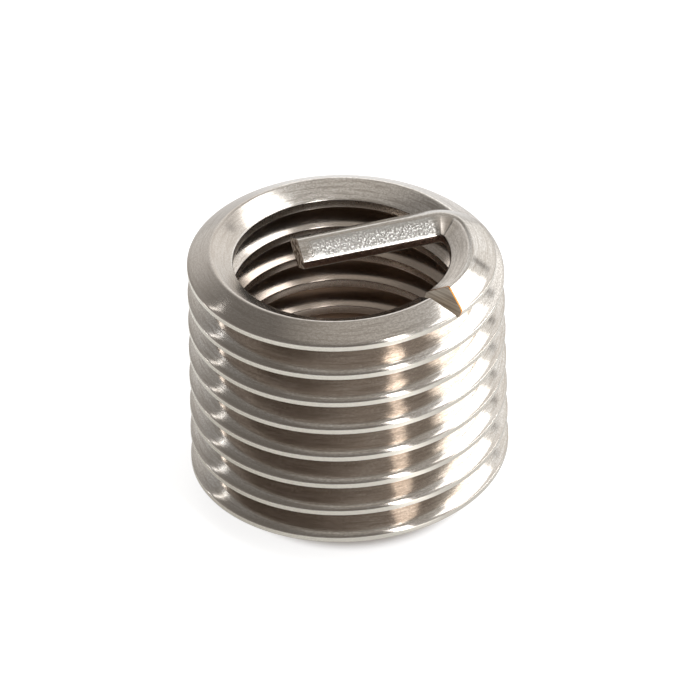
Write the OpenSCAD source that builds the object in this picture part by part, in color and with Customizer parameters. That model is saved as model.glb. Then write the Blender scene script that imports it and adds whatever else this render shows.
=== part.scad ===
// Wire thread insert, free state: a close-wound right-hand coil of diamond-section stainless wire,
// standing on its plain end with the driving tang on top.
// The coil's axis is Z, the front is -Y, and z = 0 is the lowest point of the bottom turn.
// Millimetres and degrees. Angles round the coil count anticlockwise from +X, seen from above.

/* [Wire] */
// Width of the wire along the coil's axis, from rounded ridge to rounded ridge
wire_w = 1.30; // [0.8:0.05:1.8]
// Width of the small flat on the crest of the outer thread
outer_flat = 0.26; // [0.05:0.01:0.5]
// Width of the small flat on the crest of the inner thread
inner_flat = 0.36; // [0.05:0.01:0.6]
// Slope of each thread flank from level; 30 gives the 60 degree thread form
flank_angle = 30; // [26:1:38]
// Radius that rounds the two ridges where neighbouring turns meet
ridge_r = 0.18; // [0.04:0.01:0.3]

/* [Coil] */
// Diameter over the outer crests at the tang end
coil_d = 12.50; // [9:0.1:30]
// How much wider each turn is than the one above it
coil_growth = 0.028; // [0:0.002:0.06]
// Clearance between the ridges of neighbouring turns
turn_gap = 0.02; // [0.01:0.01:0.5]
// Number of turns from the notch down to the bottom end
turns = 7.8; // [2.5:0.1:16]
// How far the top turn is sprung clear of the turn below it
top_lift = 0.08; // [0:0.01:0.3]
// Length of coil, as an angle, over which the top turn springs clear
lift_span = 170; // [60:10:300]

/* [Break-off notch] */
// Where the notch lies round the coil
notch_a = -46.5; // [-180:0.5:180]
// Included angle of the V-shaped notch
notch_v = 60; // [40:5:90]
// Depth of the notch below the top ridge
notch_depth = 0.80; // [0.2:0.02:1]
// How far the notch's bottom line is turned away from the radius
notch_swing = 5; // [-20:1:20]

/* [Tang] */
// Coil left, as an angle, between the notch and the start of the bend
bend_lead = 12.7; // [10:0.5:40]
// Turning of the first, gentle part of the bend
bend_turn = 56; // [20:1:70]
// Turning of the whole bend, from the coil to the tang
tang_turn = 140.3; // [125:0.5:160]
// Radius inside the sharp corner, at the inner crest
corner_in_r = 0.14; // [0.05:0.01:0.8]
// How far the tang's ridges pass behind the coil's axis; below zero is in front
tang_offset = -0.14; // [-1:0.02:1]
// Clear distance from the tang's free end to the far wall of the bore
tang_end_gap = 2.45; // [1:0.05:4]
// Height that the wire gains through the bend, beyond the coil's own climb
bend_rise = 0.20; // [0:0.02:0.8]

/* [Hidden] */

steel = [0.72, 0.70, 0.67];

// Fineness of the sweep
step_a = 7.5;
corner_step_a = 8;
ridge_points = 3;

// Section of the wire: half its height to the sharp corner that the ridge's rounding takes off,
// and the reach of each thread form from the ridge line to its crest
sharp_half = wire_w / 2 - ridge_r + ridge_r / cos(flank_angle);
outer_depth = (sharp_half - outer_flat / 2) / tan(flank_angle);
inner_depth = (sharp_half - inner_flat / 2) / tan(flank_angle);

// Coil
pitch = wire_w + turn_gap;
ridge_circle = coil_d / 2 - outer_depth;
bottom_a = notch_a - 360 * turns;
bend_a = notch_a + bend_lead;

// Bend: a gentle arc and then a corner, so placed that the tang runs across the bore
corner_r = inner_depth + corner_in_r;
tang_normal_a = bend_a + tang_turn;
start_cos = cos(tang_turn);
corner_cos = cos(tang_turn - bend_turn);
bend_r = (tang_offset - corner_r - ridge_circle * start_cos + corner_r * corner_cos)
    / (corner_cos - start_cos);
bore_r = ridge_circle - inner_depth;
climb = pitch / (2 * PI * ridge_circle);
bend_len = (bend_r * bend_turn + corner_r * (tang_turn - bend_turn)) * PI / 180;

function clamp01(v) = min(1, max(0, v));
function polar(r, a) = [r * cos(a), r * sin(a)];
function arc(centre, r, a0, a1, n) = [for (i = [0:n - 1]) centre + polar(r, a0 + (a1 - a0) * i / (n - 1))];

// The wire's section, as [outward, up] from its middle, anticlockwise from the outer crest
section = concat(
    [[outer_depth, -outer_flat / 2], [outer_depth, outer_flat / 2]],
    arc([0, wire_w / 2 - ridge_r], ridge_r, 90 - flank_angle, 90 + flank_angle, ridge_points),
    [[-inner_depth, inner_flat / 2], [-inner_depth, -inner_flat / 2]],
    arc([0, ridge_r - wire_w / 2], ridge_r, 270 - flank_angle, 270 + flank_angle, ridge_points));

// A station is where the wire's middle is and which way its outer thread faces: [x, y, z, angle]
function coil_z(a) = wire_w / 2 + pitch * (a - bottom_a) / 360
    + top_lift * clamp01(1 - (bend_a - a) / lift_span);
function coil_r(a) = ridge_circle + coil_growth / 2 * max(0, (bend_a - a) / 360);
function coil_station(a) = [each polar(coil_r(a), a), coil_z(a), a];

// Rise along the bend, after the given length of wire from its start
function bend_z(len) = coil_z(bend_a) + (climb + bend_rise / bend_len) * len;

bend_centre = polar(ridge_circle - bend_r, bend_a);
corner_a = bend_a + bend_turn;
corner_centre = bend_centre + polar(bend_r - corner_r, corner_a);
bend_arc_len = bend_r * bend_turn * PI / 180;

function bend_station(turn) = turn <= bend_turn
    ? [each bend_centre + polar(bend_r, bend_a + turn), bend_z(bend_r * turn * PI / 180), bend_a + turn]
    : [each corner_centre + polar(corner_r, bend_a + turn),
        bend_z(bend_arc_len + corner_r * (turn - bend_turn) * PI / 180), bend_a + turn];

// The tang runs on from the corner, square to its normal, until tang_end_gap short of the bore's far wall
tang_start = corner_centre + polar(corner_r, tang_normal_a);
tang_dir = polar(1, tang_normal_a + 90);
tang_len = sqrt(bore_r ^ 2 - tang_offset ^ 2) - tang_end_gap - tang_start * tang_dir;
tang_station = [each tang_start + tang_len * tang_dir, bend_z(bend_len), tang_normal_a];

coil_rings = ceil((bend_a - bottom_a) / step_a);
bend_rings = ceil(bend_turn / step_a);
corner_rings = ceil((tang_turn - bend_turn) / corner_step_a);

stations = concat(
    [for (i = [0:coil_rings]) coil_station(bottom_a + (bend_a - bottom_a) * i / coil_rings)],
    [for (i = [1:bend_rings]) bend_station(bend_turn * i / bend_rings)],
    [for (i = [1:corner_rings]) bend_station(bend_turn + (tang_turn - bend_turn) * i / corner_rings)],
    [tang_station]);

function section_at(s) = [for (p = section) [s.x + p.x * cos(s[3]), s.y + p.x * sin(s[3]), s.z + p.y]];

// One wire swept along its stations, with a flat, square-cut face at each end
module wire() {
    m = len(section);
    n = len(stations);
    last = (n - 1) * m;
    polyhedron(
        points = [for (s = stations) each section_at(s)],
        faces = concat(
            [[for (j = [0:m - 1]) j]],
            [for (i = [0:n - 2], j = [0:m - 1]) let (k = (j + 1) % m) [i * m + j, i * m + m + j, i * m + m + k]],
            [for (i = [0:n - 2], j = [0:m - 1]) let (k = (j + 1) % m) [i * m + j, i * m + m + k, i * m + k]],
            [[for (j = [m - 1:-1:0]) last + j]]));
}

// V-shaped cutter whose bottom edge is level and crosses the wire
module notch_cutter() {
    height = notch_depth + wire_w;
    half = height * tan(notch_v / 2);
    reach = 2 * (outer_depth + inner_depth);
    ridge = polar(coil_r(notch_a), notch_a);
    translate([ridge.x, ridge.y, coil_z(notch_a) + wire_w / 2 - notch_depth])
        rotate([0, 0, notch_a + notch_swing])
            rotate([90, 0, 90])
                linear_extrude(reach, center = true)
                    polygon([[0, 0], [half, height], [-half, height]]);
}

module thread_insert() {
    color(steel)
        difference() {
            wire();
            notch_cutter();
        }
}

thread_insert();
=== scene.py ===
# %% [markdown]
# Wire thread insert
#
# A wire thread insert is one length of hard stainless wire, drawn to a diamond section and wound
# into a spring. Its outer V winds into a tapped hole and its inner V becomes the new thread. The
# last turn has a notch and is bent across the bore as a tang, which a tool turns and snaps off.
#
# This lesson sweeps that wire as one fine mesh over the solid that the frame holds, cuts its notch,
# and gives it the finish of drawn, wound and cleaned steel. First comes the frame.

# %% Load the frame
import math

import bmesh
import bpy
from mathutils import Matrix, Vector


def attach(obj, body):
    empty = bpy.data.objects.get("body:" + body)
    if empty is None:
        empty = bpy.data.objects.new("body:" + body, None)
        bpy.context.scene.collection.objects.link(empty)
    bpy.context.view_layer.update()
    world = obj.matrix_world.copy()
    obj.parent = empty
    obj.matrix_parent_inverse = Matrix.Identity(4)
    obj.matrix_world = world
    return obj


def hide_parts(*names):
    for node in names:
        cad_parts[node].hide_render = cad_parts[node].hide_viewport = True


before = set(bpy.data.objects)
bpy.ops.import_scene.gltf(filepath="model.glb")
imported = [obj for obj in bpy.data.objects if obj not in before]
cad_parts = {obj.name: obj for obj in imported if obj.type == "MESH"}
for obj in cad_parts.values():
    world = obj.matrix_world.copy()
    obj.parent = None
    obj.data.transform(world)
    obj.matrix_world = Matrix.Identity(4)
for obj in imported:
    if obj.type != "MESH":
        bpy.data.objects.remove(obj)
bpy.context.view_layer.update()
MM = 0.001

# %% [markdown]
# The sizes of the wire and the coil
#
# They are the solid's own driving sizes, in millimetres and degrees, so the mesh can't drift away
# from it. Only the small rounding along each crest and the slight crown beside the outer one are
# added: drawn wire has no true sharp edge, and these catch the thin bright lines along the crests.

# %% Sizes
WIRE_W, OUTER_FLAT, INNER_FLAT = 1.30, 0.26, 0.36
FLANK, RIDGE_R = math.radians(30), 0.18
OUTER_ROUND, INNER_ROUND = 0.035, 0.045
CROWN_R, CROWN_TURN = 0.95, 12
COIL_D, GROWTH, TURN_GAP, TURNS = 12.50, 0.028, 0.02, 7.8
TOP_LIFT, LIFT_SPAN = 0.08, 170
NOTCH_A, NOTCH_V, NOTCH_DEPTH, NOTCH_SWING = -46.5, 60, 0.80, 5
BEND_LEAD, BEND_TURN, TANG_TURN = 12.7, 56, 140.3
CORNER_IN_R, TANG_OFFSET, TANG_END_GAP, BEND_RISE = 0.14, -0.14, 2.45, 0.20

sharp_half = WIRE_W / 2 - RIDGE_R + RIDGE_R / math.cos(FLANK)
outer_depth = (sharp_half - OUTER_FLAT / 2) / math.tan(FLANK)
inner_depth = (sharp_half - INNER_FLAT / 2) / math.tan(FLANK)
pitch = WIRE_W + TURN_GAP
ridge_circle = COIL_D / 2 - outer_depth
bore_r = ridge_circle - inner_depth
bottom_a = NOTCH_A - 360 * TURNS
bend_a = NOTCH_A + BEND_LEAD
print("pitch", round(pitch, 3), "bore", round(2 * bore_r, 2))

# %% [markdown]
# The section of the wire
#
# A section is a closed loop of points, each an offset outwards and upwards from the wire's middle.
# Corners are turned into short arcs by walking round them, which is simple here because each corner
# is convex. Every point also remembers how far round the loop it is, for the grain of the drawing,
# and which part of the thread form it lies on, for the finish.


# %% Section
def arc(centre, radius, start, end, count):
    """Points on an arc, angles in degrees."""
    angles = [math.radians(start + (end - start) * i / (count - 1)) for i in range(count)]
    return [(centre[0] + radius * math.cos(a), centre[1] + radius * math.sin(a)) for a in angles]


def flat_corner(depth, flat, radius, side, count=4):
    """The rounded corner where a crest's flat of the given width meets its upper or lower flank."""
    flank = math.degrees(FLANK)
    back = radius * math.tan(math.radians((90 - flank) / 2))
    centre = (depth - radius, side * (flat / 2 - back))
    return arc(centre, radius, 0, side * (90 - flank), count)


def crowned_corner(depth, flat, radius, side, count=4):
    """The same with a crown: the flank bends over slightly before it reaches the tight corner."""
    end = 90 - math.degrees(FLANK)
    start = end - CROWN_TURN
    cos_start, cos_end = math.cos(math.radians(start)), math.cos(math.radians(end))
    away = (CROWN_R * (cos_start - cos_end) + radius * (1 - cos_start)) / math.cos(FLANK)
    foot = (depth - away * math.cos(FLANK), flat / 2 + away * math.sin(FLANK))
    centre = (foot[0] - CROWN_R * cos_end, foot[1] - CROWN_R * math.sin(math.radians(end)))
    crown = arc(centre, CROWN_R, start, end, count)
    tight = (crown[0][0] - radius * cos_start, crown[0][1] - radius * math.sin(math.radians(start)))
    points = arc(tight, radius, 0, start, count)[:-1] + crown
    return [(u, side * w) for u, w in points]


def mirrored(points):
    return [(-u, w) for u, w in points]


RIDGE_POINTS = 9
flank_deg = math.degrees(FLANK)
upper_outer = crowned_corner(outer_depth, OUTER_FLAT, OUTER_ROUND, 1)
lower_outer = crowned_corner(outer_depth, OUTER_FLAT, OUTER_ROUND, -1)
upper_inner = mirrored(flat_corner(inner_depth, INNER_FLAT, INNER_ROUND, 1))
lower_inner = mirrored(flat_corner(inner_depth, INNER_FLAT, INNER_ROUND, -1))
top_ridge = arc((0, WIRE_W / 2 - RIDGE_R), RIDGE_R, 90 - flank_deg, 90 + flank_deg, RIDGE_POINTS)
low_ridge = arc((0, RIDGE_R - WIRE_W / 2), RIDGE_R, 270 - flank_deg, 270 + flank_deg, RIDGE_POINTS)
section = upper_outer + top_ridge + upper_inner[::-1]
section += lower_inner + low_ridge + lower_outer[::-1]

around = [0.0]
for (u0, w0), (u1, w1) in zip(section, section[1:] + section[:1]):
    around.append(around[-1] + math.hypot(u1 - u0, w1 - w0))
print(len(section), "points round the section,", round(around[-1], 2), "mm")

# %% [markdown]
# The path of the wire
#
# The path is a function of the angle wound so far. Below the bend it is a helix that widens a
# little with each turn and is sprung clear near its end. The bend is a gentle arc and then a tight
# one, whose radii are found from where the tang has to run, exactly as on the solid. Each station
# is the wire's middle, the angle that the outer thread faces, and the length of wire so far.


# %% Path
corner_r = inner_depth + CORNER_IN_R
tang_normal_a = bend_a + TANG_TURN
start_cos = math.cos(math.radians(TANG_TURN))
corner_cos = math.cos(math.radians(TANG_TURN - BEND_TURN))
bend_r = (TANG_OFFSET - corner_r - ridge_circle * start_cos + corner_r * corner_cos)
bend_r /= corner_cos - start_cos
bend_arc = math.radians(BEND_TURN) * bend_r
corner_arc = math.radians(TANG_TURN - BEND_TURN) * corner_r


def polar(radius, angle):
    return Vector((radius * math.cos(math.radians(angle)), radius * math.sin(math.radians(angle))))


def coil_z(a):
    spring = min(1, max(0, 1 - (bend_a - a) / LIFT_SPAN))
    return WIRE_W / 2 + pitch * (a - bottom_a) / 360 + TOP_LIFT * spring


def coil_station(a):
    radius = ridge_circle + GROWTH / 2 * max(0, bend_a - a) / 360
    return (*polar(radius, a), coil_z(a), a)


climb = pitch / (2 * math.pi * ridge_circle) + BEND_RISE / (bend_arc + corner_arc)
bend_centre = polar(ridge_circle - bend_r, bend_a)
corner_centre = bend_centre + polar(bend_r - corner_r, bend_a + BEND_TURN)


def bend_station(turn):
    centre, radius, run = bend_centre, bend_r, bend_r * math.radians(turn)
    if turn > BEND_TURN:
        centre, radius = corner_centre, corner_r
        run = bend_arc + corner_r * math.radians(turn - BEND_TURN)
    return (*(centre + polar(radius, bend_a + turn)), coil_z(bend_a) + climb * run, bend_a + turn)


tang_start = corner_centre + polar(corner_r, tang_normal_a)
tang_dir = polar(1, tang_normal_a + 90)
tang_len = math.sqrt(bore_r**2 - TANG_OFFSET**2) - TANG_END_GAP - tang_start.dot(tang_dir)
tang_z = bend_station(TANG_TURN)[2]


def tang_station(run):
    return (*(tang_start + run * tang_dir), tang_z, tang_normal_a)


def spread(first, last, step):
    """Values from first to last, evenly spaced by about the given step."""
    count = max(1, math.ceil((last - first) / step))
    return [first + (last - first) * i / count for i in range(count + 1)]


COIL_STEP, BEND_STEP, CORNER_STEP, TANG_STEP = 2.5, 2.5, 2.0, 0.1
stations = [coil_station(a) for a in spread(bottom_a, bend_a, COIL_STEP)]
stations += [bend_station(t) for t in spread(0, BEND_TURN, BEND_STEP)[1:]]
stations += [bend_station(t) for t in spread(BEND_TURN, TANG_TURN, CORNER_STEP)[1:]]
stations += [tang_station(t) for t in spread(0, tang_len, TANG_STEP)[1:]]
along = [0.0]
for here, after in zip(stations, stations[1:]):
    along.append(along[-1] + math.dist(here[:3], after[:3]))
bend_along = along[-1] - tang_len - bend_arc - corner_arc
print(len(stations), "stations,", round(along[-1], 1), "mm of wire, tang", round(tang_len, 2), "mm")

# %% [markdown]
# Sweeping the wire
#
# A curve with a bevel would be the quick way, but Blender turns a curve's section as it climbs.
# Wire in a coil keeps its V level, so the rings are placed here point by point, and quads join
# them. The length and the distance round the section go into a UV map, so the finish can follow
# the wire however it bends.


# %% Wire mesh
def ring(station, bm):
    x, y, z, a = station
    c, s = math.cos(math.radians(a)), math.sin(math.radians(a))
    return [bm.verts.new(((x + u * c) * MM, (y + u * s) * MM, (z + w) * MM)) for u, w in section]


def add_quads(bm, rings, uv):
    count = len(section)
    for i in range(len(rings) - 1):
        for j in range(count):
            k = (j + 1) % count
            face = bm.faces.new((rings[i][j], rings[i + 1][j], rings[i + 1][k], rings[i][k]))
            corners = ((i, j), (i + 1, j), (i + 1, j + 1), (i, j + 1))
            for loop, (m, n) in zip(face.loops, corners):
                loop[uv].uv = (along[m], around[n])


def new_object(name, bm):
    mesh = bpy.data.meshes.new(name)
    bm.normal_update()
    bm.to_mesh(mesh)
    bm.free()
    made = bpy.data.objects.new(name, mesh)
    bpy.context.scene.collection.objects.link(made)
    return made


bm = bmesh.new()
wire_uv = bm.loops.layers.uv.new("wire")
rings = [ring(s, bm) for s in stations]
add_quads(bm, rings, wire_uv)
for end, order in ((0, 1), (-1, -1)):
    cap = bm.faces.new(rings[end][::order])
    for loop in cap.loops:
        loop[wire_uv].uv = (along[end], 0)
bmesh.ops.recalc_face_normals(bm, faces=bm.faces)
wire = new_object("wire_coil", bm)
print(len(wire.data.polygons), "faces in the wire")

# %% [markdown]
# The notch
#
# The maker presses a V into the top turn so that the tang breaks off cleanly there. It is cut with
# a Boolean modifier and a wedge, because the V runs at a slight angle through rings of points that
# don't line up with it. The wedge brings its own material, so the fresh walls get their own finish.

# %% Notch
notch_x, notch_y, _, _ = coil_station(NOTCH_A)
notch_floor = coil_z(NOTCH_A) + WIRE_W / 2 - NOTCH_DEPTH
NOTCH_ROUND = 0.03


def notch_wedge():
    height = NOTCH_DEPTH + WIRE_W
    half = math.radians(NOTCH_V / 2)
    reach = outer_depth + inner_depth
    middle = NOTCH_ROUND / math.sin(half)
    low = arc((0, middle), NOTCH_ROUND, 180 + NOTCH_V / 2, 360 - NOTCH_V / 2, 5)
    lift = middle - NOTCH_ROUND
    profile = [(p, q - lift) for p, q in low]
    profile += [(height * math.tan(half), height), (-height * math.tan(half), height)]
    bm = bmesh.new()
    loops = [[bm.verts.new((x * MM, p * MM, q * MM)) for p, q in profile] for x in (-reach, reach)]
    for i in range(len(profile)):
        j = (i + 1) % len(profile)
        bm.faces.new((loops[0][i], loops[0][j], loops[1][j], loops[1][i]))
    bm.faces.new(loops[0])
    bm.faces.new(loops[1])
    bmesh.ops.recalc_face_normals(bm, faces=bm.faces)
    wedge = new_object("notch_wedge", bm)
    place = Matrix.Translation(Vector((notch_x, notch_y, notch_floor)) * MM)
    wedge.data.transform(place @ Matrix.Rotation(math.radians(NOTCH_A + NOTCH_SWING), 4, "Z"))
    return wedge


wedge = notch_wedge()
print("notch floor at", round(notch_floor, 2), "mm")

# %% [markdown]
# Shader maths as expressions
#
# Finishes are easier to read as sums than as wires between boxes. This small class wraps a node's
# output, so that an expression such as 1 - mask adds its Math node. Everything else, from noise to
# the shader itself, comes from one method that sets a node's options first and then its sockets.


# %% Socket wrapper
class Sock:
    """A node's output that can be used in expressions."""

    def __init__(self, tree, socket):
        self.tree, self.socket = tree, socket

    def node(self, kind, settings=None, out=0, **inputs):
        return add_node(self.tree, kind, settings, out, **inputs)

    def math(self, operation, other=None):
        return fill(add_node(self.tree, "ShaderNodeMath", {"operation": operation}), self, other)

    def __add__(self, other): return self.math("ADD", other)
    def __sub__(self, other): return self.math("SUBTRACT", other)
    def __mul__(self, other): return self.math("MULTIPLY", other)
    def __radd__(self, other): return self.math("ADD", other)
    def __rmul__(self, other): return self.math("MULTIPLY", other)
    def __rsub__(self, other): return (self * -1).math("ADD", other)

    def band(self, low, high):
        """0 below low, 1 above high and smooth between; it falls where low is above high."""
        made = add_node(self.tree, "ShaderNodeMapRange", {"interpolation_type": "SMOOTHSTEP"})
        slots = made.socket.node.inputs
        put(self.tree, slots["Value"], self)
        slots["From Min"].default_value, slots["From Max"].default_value = sorted((low, high))
        ends = (0, 1) if low < high else (1, 0)
        slots["To Min"].default_value, slots["To Max"].default_value = ends
        return made

    def split(self):
        """The x, y and z of a vector."""
        made = self.node("ShaderNodeSeparateXYZ", Vector=self)
        return [Sock(self.tree, socket) for socket in made.socket.node.outputs]

    def distance(self, point):
        return fill(self.node("ShaderNodeVectorMath", {"operation": "DISTANCE"}, 1), self, point)


def put(tree, slot, value):
    """Links a wrapped socket to an input, or sets the input to a plain value."""
    if isinstance(value, Sock):
        tree.links.new(value.socket, slot)
    elif value is not None:
        slot.default_value = value


def fill(made, *values):
    """Puts the values into a node's first inputs."""
    for slot, value in zip(made.socket.node.inputs, values):
        put(made.tree, slot, value)
    return made


def add_node(tree, kind, settings=None, out=0, **inputs):
    made = tree.nodes.new(kind)
    for name, value in (settings or {}).items():
        if name == "stops":
            ramp = made.color_ramp.elements
            while len(ramp) < len(value):
                ramp.new(0.5)
            for element, (place, colour) in zip(ramp, value):
                element.position, element.color = place, (*colour, 1)
        else:
            setattr(made, name, value)
    for name, value in inputs.items():
        put(tree, made.inputs[name.replace("_", " ")], value)
    return Sock(tree, made.outputs[out]) if made.outputs else None


def mix_colour(factor, first, second):
    """Mixes two colours; each may be a wrapped socket or a tuple."""
    made = add_node(factor.tree, "ShaderNodeMix", {"data_type": "RGBA", "blend_type": "MIX"}, 2)
    slots = made.socket.node.inputs
    put(factor.tree, slots[0], factor)
    for slot, value in ((slots[6], first), (slots[7], second)):
        put(factor.tree, slot, (*value, 1) if isinstance(value, tuple) else value)
    return made


def new_material(name):
    made = bpy.data.materials.new(name)
    made.use_nodes = True
    made.node_tree.nodes.clear()
    return made, made.node_tree


def turned_to_notch(place, centre=(0, 0, 0)):
    """The x, y and z of object coordinates, turned so that y runs across the notch's V."""
    return place.node("ShaderNodeVectorRotate", {"rotation_type": "Z_AXIS"}, Vector=place,
                      Center=centre, Angle=-math.radians(NOTCH_A + NOTCH_SWING)).split()


print("socket wrapper ready")

# %% [markdown]
# The wire's own coordinates
#
# The finish follows the wire through its UV map: u is millimetres along the wire and v is
# millimetres round the section. The landmarks are the places along both where one part of the
# thread form ends and the next begins. The noises run in the same two directions, all but the one
# for the torn end, where u and v stand still.

# %% Landmarks and noises
outer_corner = around[len(upper_outer) - 1]
ridge_at = around[len(upper_outer) + RIDGE_POINTS // 2]
inner_corner = around[len(upper_outer) + RIDGE_POINTS]
inner_end = around[len(upper_outer) + RIDGE_POINTS + len(upper_inner) + len(lower_inner) - 1]
low_outer = around[len(section) - len(lower_outer)]
low_ridge_at = around[len(section) - len(lower_outer) - RIDGE_POINTS // 2 - 1]
crest_at = around[-2]
wire_end = along[-1]
tang_along = wire_end - tang_len
mat_wire, tree = new_material("drawn_steel")
u, v, _ = add_node(tree, "ShaderNodeUVMap", {"uv_map": "wire"}).split()


def noise(stretch_u, stretch_v, detail, rough, seed):
    """Noise over the wire's surface, with the two given frequencies per millimetre."""
    where = add_node(tree, "ShaderNodeCombineXYZ", X=u * stretch_u, Y=v * stretch_v, Z=seed)
    return where.node("ShaderNodeTexNoise", Vector=where, Scale=1.0, Detail=detail, Roughness=rough)


drawn = noise(0.25, 22.0, 3.0, 0.60, 1.0)
lines = noise(0.60, 9.0, 4.0, 0.70, 2.0)
grain = noise(8.0, 13.0, 3.0, 0.70, 4.0)
speck = noise(22.0, 22.0, 1.0, 0.50, 5.0)
cloud = noise(0.55, 1.1, 3.0, 0.55, 7.0)
pits = noise(11.0, 11.0, 2.0, 0.55, 11.0)
place = add_node(tree, "ShaderNodeTexCoord", out=3)
torn = place.node("ShaderNodeTexNoise", Vector=place, Scale=6 / MM, Detail=3.0)
print("u runs to", round(wire_end, 1), "mm and v to", round(around[-1], 2), "mm")

# %% [markdown]
# Where the wire was worked, and where light and shade are painted
#
# Each mask is a product of soft bands along u and v, or of bands of x, y and height on the finished
# coil. The wire was drawn through a die, rubbed on its crests, squeezed and folded where the tang
# was bent, pitted by the bending tool, cut off at its end, and heated at the rim of the notch.
# Other masks only say where light and shade are painted: the crown beside each outer crest, the top
# turn, the deep bore, the left, right and back of the coil, a patch near the tang's end, and both
# sides of the crease.

# %% Masks
FOLD_AT, PATCH_FROM, PATCH_TO = 0.95, 1.0, 0.35

on_upper = v.band(inner_corner - 0.02, inner_corner - 0.06)
on_crest = v.band(crest_at - 0.02, crest_at)
on_inner = v.band(ridge_at + 0.08, ridge_at + 0.20)
on_inner *= v.band(inner_corner + 0.05, inner_corner - 0.03)
inner_flat = v.band(inner_corner + 0.04, inner_corner + 0.08)
inner_flat *= v.band(inner_end - 0.04, inner_end - 0.08)
underside = v.band(inner_end, inner_end + 0.05) * v.band(low_outer + 0.20, low_outer + 0.10)
inside = v.band(low_ridge_at, low_ridge_at - 0.1)
inward = v.band(ridge_at, ridge_at + 0.1) * inside
# Painted shade: the corner and crown beside each outer crest are darkened, more at the left.
painted_crown_shade = v.band(outer_corner + 0.15, outer_corner - 0.15) * on_upper

on_tang = u.band(tang_along - 0.35, tang_along + 0.45) * u.band(wire_end - 0.15, wire_end - 0.75)
squeezed = on_tang * on_inner * v.band(inner_corner - 0.02, inner_corner - 0.10)
pitted = squeezed * (0.25 + v.band(ridge_at + 0.18, ridge_at + 0.48) * 0.75)
# Painted highlight: a pale patch on the inner flank near the tang's end.
painted_highlight_patch = u.band(wire_end - PATCH_FROM, wire_end - PATCH_FROM + 0.2)
painted_highlight_patch *= u.band(wire_end - PATCH_TO, wire_end - PATCH_TO - 0.15)
painted_highlight_patch *= v.band(inner_corner - 0.30, inner_corner - 0.12) * on_inner
bent = u.band(bend_along - 1.5, bend_along + 0.5) * u.band(tang_along + 0.2, tang_along - 0.3)
bent *= on_inner
# Painted highlight along the crease, and painted shade on the folded part beyond it, which is also
# a bump.
past_crease = u - (tang_along - FOLD_AT)
crease_glint = past_crease.math("ABSOLUTE").band(0.05, 0.0) * on_inner
crease_glint *= v.band(ridge_at + 0.35, ridge_at + 0.5)
fold_and_shade = past_crease.band(-0.04, 0.10) * past_crease.band(1.2, 0.3) * on_inner
tang_flat = inner_flat * u.band(bend_along, tang_along)
cut_end = u.band(wire_end - 0.002, wire_end - 0.0005)
# The top turn's upper flank, painted lighter at the right and behind and darker at the left.
on_top = u.band(bend_along - 39, bend_along - 36) * u.band(bend_along + 0.5, bend_along - 1.0)
on_top *= on_upper

sideways, backwards = (axis * (1 / MM) for axis in place.split()[:2])
_, over, rise = turned_to_notch(place, Vector((notch_x, notch_y, 0)) * MM)
over, rise = over * (1 / MM) - notch_y, rise * (1 / MM) - notch_floor
past_wall = over - rise * math.tan(math.radians(NOTCH_V / 2))
burr = past_wall.band(-0.05, 0.0) * past_wall.band(0.11, 0.06) * rise.band(0.05, 0.15)
burr *= u.band(bend_along - 2.0, bend_along - 1.6) * u.band(bend_along + 0.2, bend_along - 0.2)
# Painted shade: the bore is darker and browner as it gets deeper.
deep_bore_shade = inward * rise.band(-0.6, -3.0)
# The left, right and back of the coil, where painted shade and painted light are laid.
painted_shade_left = sideways.band(-1.0, -3.2) * sideways.band(-5.45, -5.1)
painted_light_right = sideways.band(3.0, 4.4) * sideways.band(6.3, 5.3)
painted_light_back = backwards.band(2.5, 4.5) * sideways.band(-4.0, -2.0)
print("masks:", len(tree.nodes), "nodes")

# %% [markdown]
# The finish of the wire
#
# The flanks are a warm brown grey with a satin grain and fine lines from the die. The undersides
# keep a darker film, which also stands in for the shade deep in the grooves, and it is painted
# darker still at the left as painted shade and paler at the right as painted light. The bore is
# painted darker and browner as it gets deeper, a painted shade. The crest flats are rubbed pale,
# and painted lighter at the left and darker at the right. Painted shade darkens the crown beside
# each outer crest and the fold of the tang; painted highlights lie on the top turn at the right and
# behind, along the crease, on a patch near the tang's end and as glints among its pits. The layers
# are laid one over another in the order in which they are listed.

# %% Wire finish
# Colours named SHADED, LIT, SHADE, SHADOW, GLINT and HIGHLIGHT are painted light and shade.
STEEL, STEEL_PALE, STEEL_DARK = (0.62, 0.588, 0.545), (0.70, 0.68, 0.65), (0.36, 0.32, 0.28)
STEEL_FILM_AND_SHADE, FILM_SHADED_LEFT, FILM_LIT_RIGHT = (0.27, 0.22, 0.185), (0.17, 0.13, 0.105), (0.54, 0.51, 0.47)
BORE_FILM_AND_SHADE, BORE_SHADE_BROWN = (0.42, 0.32, 0.25), (0.44, 0.34, 0.27)
CREST_LIT_LEFT, CREST_SHADED_RIGHT = (0.98, 0.96, 0.87), (0.38, 0.365, 0.33)
TOP_SHADED_LEFT, TOP_LIT_RIGHT, TOP_LIT_BACK = (0.47, 0.43, 0.39), (0.80, 0.77, 0.73), (0.84, 0.81, 0.77)
BEND_PALE, CREASE_GLINT, TANG_FLAT = (0.75, 0.70, 0.65), (0.95, 0.92, 0.88), (0.25, 0.15, 0.11)
TANG_GREY, PIT_DARK, PIT_GLINT = (0.36, 0.35, 0.335), (0.26, 0.25, 0.23), (0.88, 0.87, 0.85)
PATCH_HIGHLIGHT, BURR_BROWN = (0.97, 0.96, 0.94), (0.32, 0.13, 0.03)
TORN_DARK, TORN_PALE = (0.13, 0.09, 0.06), (0.62, 0.53, 0.45)

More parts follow.
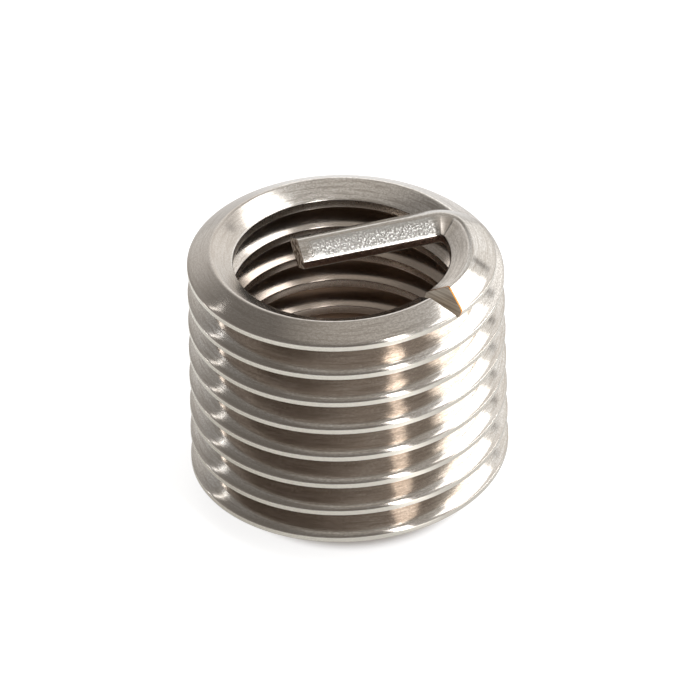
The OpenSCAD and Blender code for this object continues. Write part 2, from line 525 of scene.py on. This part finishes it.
# Undersides: a darker film that also stands in for shade in the grooves, painted darker at the left
# and paler at the right.
underside_film_and_shade = mix_colour(painted_light_right, mix_colour(painted_shade_left, STEEL_FILM_AND_SHADE, FILM_SHADED_LEFT), FILM_LIT_RIGHT)
layers = (
    (underside, mix_colour(inside, underside_film_and_shade, BORE_FILM_AND_SHADE)),
    (painted_crown_shade * (0.30 + painted_shade_left * 0.40), STEEL_DARK),
    (on_top * 0.8, mix_colour(sideways.band(-5.0, 4.0), TOP_SHADED_LEFT, TOP_LIT_RIGHT)),
    (on_top * painted_light_back, TOP_LIT_BACK),
    (deep_bore_shade * 0.75, BORE_SHADE_BROWN),
    # Crest flats rubbed pale, and painted lighter at the left and darker at the right.
    (on_crest, mix_colour(sideways.band(-4.5, 4.0), CREST_LIT_LEFT, CREST_SHADED_RIGHT)),
    (bent * 0.8, BEND_PALE),
    (grain.band(0.40, 0.62) * (0.42 - on_crest * 0.26), STEEL_DARK),
    (speck.band(0.40, 0.60) * (0.25 - on_crest * 0.15), STEEL_DARK),
    (lines.band(0.47, 0.62) * (1 - on_crest) * 0.50, STEEL_DARK),
    (tang_flat * 0.9, TANG_FLAT),
    (squeezed * 0.85, TANG_GREY),
    (pitted * pits.band(0.50, 0.40) * 0.5, PIT_DARK),
    # Painted glints: bright specks among the pits.
    (pitted * pits.band(0.54, 0.62), PIT_GLINT),
    (painted_highlight_patch * 0.8, PATCH_HIGHLIGHT),
    (fold_and_shade * 0.6, STEEL_DARK),
    (crease_glint * 0.8, CREASE_GLINT),
    (cut_end, mix_colour(torn.band(0.42, 0.60), TORN_DARK, TORN_PALE)),
    (burr, BURR_BROWN),
)
tone = mix_colour(cloud.band(0.35, 0.68), STEEL, STEEL_PALE)
for mask, colour in layers:
    tone = mix_colour(mask, tone, colour)
roughness = (0.05 + grain * 0.10 + cloud * 0.04 + squeezed * 0.20 + on_crest * 0.25 + bent * 0.20
             + cut_end * 0.40 + inner_flat * 0.12 + inward * 0.04)
height = (drawn * 0.0007 + grain * (1 - inward * 0.8) * 0.0008 + pitted * pits * 0.05
          + bent * (v - ridge_at) * 0.30 - fold_and_shade * (v - ridge_at) * 0.20 + cut_end * torn * 0.15)
bump = height.node("ShaderNodeBump", Height=height, Strength=1.0, Distance=MM)
steel = tone.node("ShaderNodeBsdfPrincipled", Base_Color=tone, Metallic=1 - on_crest * 0.6,
                  Roughness=roughness, Normal=bump)
add_node(tree, "ShaderNodeOutputMaterial", Surface=steel)
print("drawn steel:", len(tree.nodes), "nodes,", len(layers), "layers")

# %% [markdown]
# The finish of the notch
#
# The notch is pressed or ground after drawing, so its walls show fine tracks that run along the V,
# and they keep a brown tint. Object coordinates turned to the V give the direction of the tracks.

# %% Notch finish
NOTCH_DARK, NOTCH_PALE = (0.385, 0.33, 0.275), (0.66, 0.60, 0.52)
TRACK_LONG, TRACK_CLOSE = 0.4, 16.0
mat_notch, tree = new_material("notch_steel")
lengthways, _, up = turned_to_notch(add_node(tree, "ShaderNodeTexCoord", out=3))
tracks_at = up.node("ShaderNodeCombineXYZ", X=lengthways * (TRACK_LONG / MM),
                    Y=up * (TRACK_CLOSE / MM), Z=0.0)
tracks = tracks_at.node("ShaderNodeTexNoise", Vector=tracks_at, Scale=1.0, Detail=2.0)
tone = mix_colour(tracks.band(0.35, 0.65), NOTCH_DARK, NOTCH_PALE)
bump = tracks.node("ShaderNodeBump", Height=tracks * 0.004, Strength=1.0, Distance=MM)
steel = tone.node("ShaderNodeBsdfPrincipled", Base_Color=tone, Metallic=1.0,
                  Roughness=0.32 + tracks * 0.12, Normal=bump)
add_node(tree, "ShaderNodeOutputMaterial", Surface=steel)
print("notch steel:", len(tree.nodes), "nodes")

# %% [markdown]
# Cutting and smoothing
#
# The wedge is subtracted, then thrown away. Smooth shading stops at edges sharper than the rounding
# arcs turn from point to point, so the ends of the wire and the notch stay crisp. Normals weighted
# by area then keep the wide flanks flat, so that they mirror cleanly, and bend only at the crests.

# %% Cut the notch
SHARP_ANGLE = 32
wire.data.materials.append(mat_wire)
wedge.data.materials.append(mat_notch)
cut = wire.modifiers.new("notch", "BOOLEAN")
cut.operation, cut.solver, cut.object = "DIFFERENCE", "EXACT", wedge
cut.material_mode = "TRANSFER"
bpy.context.view_layer.objects.active = wire
wire.select_set(True)
bpy.ops.object.modifier_apply(modifier=cut.name)
bpy.data.objects.remove(wedge)
bpy.ops.object.shade_smooth_by_angle(angle=math.radians(SHARP_ANGLE))
even = wire.modifiers.new("flat_flanks", "WEIGHTED_NORMAL")
even.keep_sharp = True
bpy.ops.object.modifier_apply(modifier=even.name)
print(len(wire.data.polygons), "faces,", [m.name for m in wire.data.materials])

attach(wire, "root")
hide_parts("thread_insert")

# %% [markdown]
# The floor
#
# A bright object photographs well on a white sweep, and polished steel shows whatever surrounds it.
# The floor glows a little below white and the lamps bring it up, so the contact shadow stays. What
# the steel mirrors is a dimmer floor, and darkest under the coil and in front at the left, which is
# what turns the front flanks brown grey. Light Path tells the camera's own rays from the others.

# %% Floor
FLOOR_HALF = 3.0
FLOOR_WHITE, FLOOR_GLOW, PAINTED_SHADOW_TINT = 0.50, 0.80, (0.14, 0.11, 0.09)
MIRRORED_WHITE, MIRRORED_GLOW = 0.36, 0.70
SHADE_IN, SHADE_OUT = 4.3, 5.2
SHADE_AT, SHADE_NEAR, SHADE_FAR = Vector((-15, -12, 0)), 9, 22
bm = bmesh.new()
bmesh.ops.create_grid(bm, x_segments=1, y_segments=1, size=FLOOR_HALF)
floor = new_object("floor", bm)
mat_floor, tree = new_material("white_paper")
spot = add_node(tree, "ShaderNodeTexCoord", out=3)
by_camera = add_node(tree, "ShaderNodeLightPath")
# Under the coil the glow gives way to a dim brown for every ray, a painted shadow.
outside = spot.distance((0, 0, 0)).band(SHADE_IN * MM, SHADE_OUT * MM)
mirrored = outside * spot.distance(SHADE_AT * MM).band(SHADE_NEAR * MM, SHADE_FAR * MM)
glow = mix_colour(by_camera * outside + (1 - by_camera) * mirrored * MIRRORED_GLOW,
                  PAINTED_SHADOW_TINT, (1, 1, 1))
white = mix_colour(by_camera, (MIRRORED_WHITE,) * 3, (FLOOR_WHITE,) * 3)
paper = white.node("ShaderNodeBsdfPrincipled", Roughness=0.9, Base_Color=white,
                   Specular_IOR_Level=0.0, Emission_Color=glow, Emission_Strength=FLOOR_GLOW)
add_node(tree, "ShaderNodeOutputMaterial", Surface=paper)
floor.data.materials.append(mat_floor)
print("floor:", len(tree.nodes), "nodes")

# %% [markdown]
# The sky
#
# The sky stands in for the room. It is dim at the left and overhead, and bright low down at the
# right and behind. Each side has its own ramp from the horizon up, and the two blend by how far a
# direction points to the bright side. A small grey gap leaves a dull fleck on each right flank.

# %% Sky
SKY_DIM = ((0.0, (0.54, 0.53, 0.51)), (0.35, (0.54, 0.525, 0.51)), (0.62, (0.31, 0.298, 0.285)),
           (0.88, (0.275, 0.26, 0.245)), (1.0, (0.60, 0.57, 0.53)))
SKY_BRIGHT = ((0.0, (1.12, 1.11, 1.09)), (0.30, (1.42, 1.41, 1.39)), (0.50, (1.36, 1.35, 1.33)),
              (0.78, (0.80, 0.79, 0.77)), (1.0, (0.60, 0.57, 0.53)))
BRIGHT_A, GAP_AT, GAP_GREY = math.radians(38), Vector((0.61, 0.585, 0.53)), (0.28, 0.27, 0.26)
world = bpy.data.worlds.new("studio")
bpy.context.scene.world = world
world.use_nodes = True
tree = world.node_tree
tree.nodes.clear()
direction = add_node(tree, "ShaderNodeTexCoord")
across, depth, height = direction.split()
toward = across * math.cos(BRIGHT_A) + depth * math.sin(BRIGHT_A)
dim = height.node("ShaderNodeValToRGB", {"stops": SKY_DIM}, Fac=height)
bright = height.node("ShaderNodeValToRGB", {"stops": SKY_BRIGHT}, Fac=height)
sky = mix_colour(toward.band(-0.28, 0.60), dim, bright)
sky = mix_colour(direction.distance(GAP_AT).band(0.06, 0.02), sky, GAP_GREY)
glow = sky.node("ShaderNodeBackground", Color=sky, Strength=1.0)
add_node(tree, "ShaderNodeOutputWorld", Surface=glow)
print("sky:", len(tree.nodes), "nodes")

# %% [markdown]
# Lamps
#
# Each highlight on a coil is the mirror image of one lamp, so the lamps are placed by the direction
# from which the flanks should catch them, and their brightness is set as radiance: a lamp of
# radiance 1 looks white in a perfect mirror. A long strip draws the narrow bright column, a broad
# softbox fills the right side, and two slim lamps at the left make the short sparkles there. Deep
# in each groove a flank mirrors the underside of the turn above it, which mirrors the floor, so
# glowing cards on the floor and a low lamp carry the same highlights down into the grooves.


# %% Lamps
def lamp(name, azimuth, elevation, distance, width, length, radiance, turn=0.0, tint=(1, 1, 1)):
    """A rectangular lamp that faces the object. Angles in degrees, sizes in millimetres."""
    data = bpy.data.lights.new(name, "AREA")
    data.shape, data.size, data.size_y = "RECTANGLE", width * MM, length * MM
    data.energy = radiance * math.pi * data.size * data.size_y
    data.color = tint
    made = bpy.data.objects.new(name, data)
    bpy.context.scene.collection.objects.link(made)
    a, e = math.radians(azimuth), math.radians(elevation)
    away = Vector((math.cos(e) * math.cos(a), math.cos(e) * math.sin(a), math.sin(e)))
    made.location = target + away * distance * MM
    made.rotation_euler = (away.to_track_quat("Z", "Y") @ Matrix.Rotation(
        math.radians(turn), 4, "Z").to_quaternion()).to_euler()
    return made


def floor_card(name, azimuth, near, far, width, radiance, tint=(1, 1, 1)):
    """A glowing strip that lies on the floor and points at the coil; the camera doesn't see it."""
    made = lamp(name, azimuth, 0, (near + far) / 2, far - near, width, radiance, tint=tint)
    made.location.z = CARD_LIFT * MM
    made.rotation_euler = (math.pi, 0, math.radians(azimuth))
    made.visible_camera = False


CARD_LIFT = 0.05
WARM, CREAM = (1, 0.97, 0.94), (1, 0.985, 0.97)
target = Vector((0, 0, 8 * MM))
lamp("strip", -55, 35, 283, 42, 368, 7.5, turn=-7)
lamp("softbox", 13, 48, 400, 245, 158, 2.8)
lamp("left_strip", 152, 33, 400, 15, 110, 3.0, turn=30)
lamp("left_low", 161, 3, 300, 20, 60, 9.0)
lamp("low_right", 1, 0.5, 110, 94, 18, 7.5, tint=CREAM).visible_camera = False
floor_card("card_front", -57, 9, 32, 3.4, 3.6, tint=WARM)
floor_card("card_far", -58, 33, 110, 9, 9.0, tint=WARM)
floor_card("card_right", -8, 28, 74, 26, 5.4, tint=CREAM)

# %% [markdown]
# The camera
#
# The photograph looks down on the coil from 36 degrees and from far away, so the lens is long and
# its perspective slight. The camera is leant a little, and aimed below the top turn, which puts the
# coil where it stands in the picture without shifting the lens.

# %% Camera
CAM_DIST, CAM_ELEV, CAM_ROLL = 400.0, 36.04, 1.40
PX_PER_MM, IMAGE_PX, SENSOR = 25.36, 700, 36.0
REF_PX, FRONT_A = (345.19, 255.80), -90
ref = Vector((0, 0, WIRE_W / 2 + pitch * (FRONT_A - bottom_a) / 360))
e, r = math.radians(CAM_ELEV), math.radians(CAM_ROLL)
level, rise = Vector((1, 0, 0)), Vector((0, math.sin(e), math.cos(e)))
right = math.cos(r) * level - math.sin(r) * rise
above = math.sin(r) * level + math.cos(r) * rise
ahead = Vector((0, math.cos(e), -math.sin(e)))
aim = ahead * CAM_DIST * PX_PER_MM
aim += right * (IMAGE_PX / 2 - REF_PX[0]) - above * (IMAGE_PX / 2 - REF_PX[1])
back = -aim.normalized()
side = above.cross(back).normalized()
top = back.cross(side)
camera = bpy.data.objects.new("camera", bpy.data.cameras.new("camera"))
bpy.context.scene.collection.objects.link(camera)
camera.matrix_world = Matrix.Translation((ref - ahead * CAM_DIST) * MM) @ Matrix(
    (side, top, back)).transposed().to_4x4()
camera.data.sensor_width = SENSOR
camera.data.lens = PX_PER_MM * CAM_DIST / IMAGE_PX * SENSOR
camera.data.clip_start, camera.data.clip_end = 0.01, 20
bpy.context.scene.camera = camera
bpy.context.scene.view_settings.view_transform = "Standard"
print("lens", round(camera.data.lens, 1), "mm")
